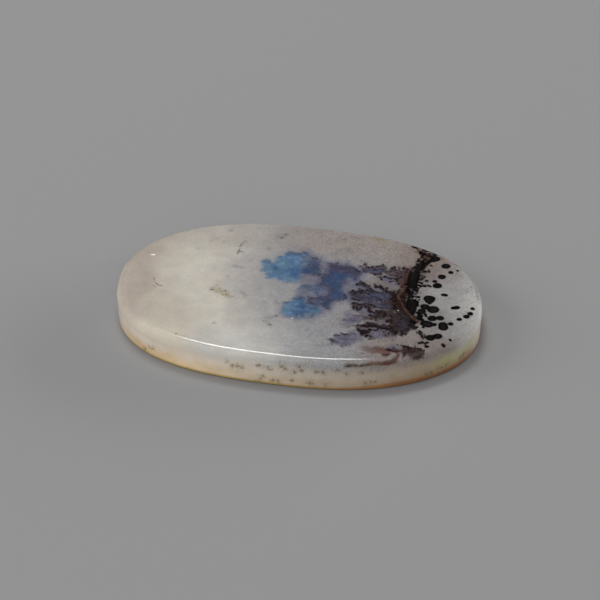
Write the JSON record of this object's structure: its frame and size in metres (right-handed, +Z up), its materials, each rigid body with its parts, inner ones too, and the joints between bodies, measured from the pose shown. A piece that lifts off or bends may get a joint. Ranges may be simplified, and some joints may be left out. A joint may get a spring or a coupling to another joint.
{
  "type": "scenic agate cabochon",
  "caption": "Low oval slab of polished translucent agate with a flat base, a rounded shoulder and blue, plum and black mineral plumes.",
  "frame": {"origin": "middle of the flat base", "axes": "+X along the long axis, towards the end with the black dots; +Y across the stone; +Z up, out of the polished top"},
  "size_m": [0.038, 0.0246, 0.0036],
  "materials": {
    "polished_agate": "polished"
  },
  "bodies": {
    "root": {"cabochon": "polished_agate"}
  },
  "joints": []
}
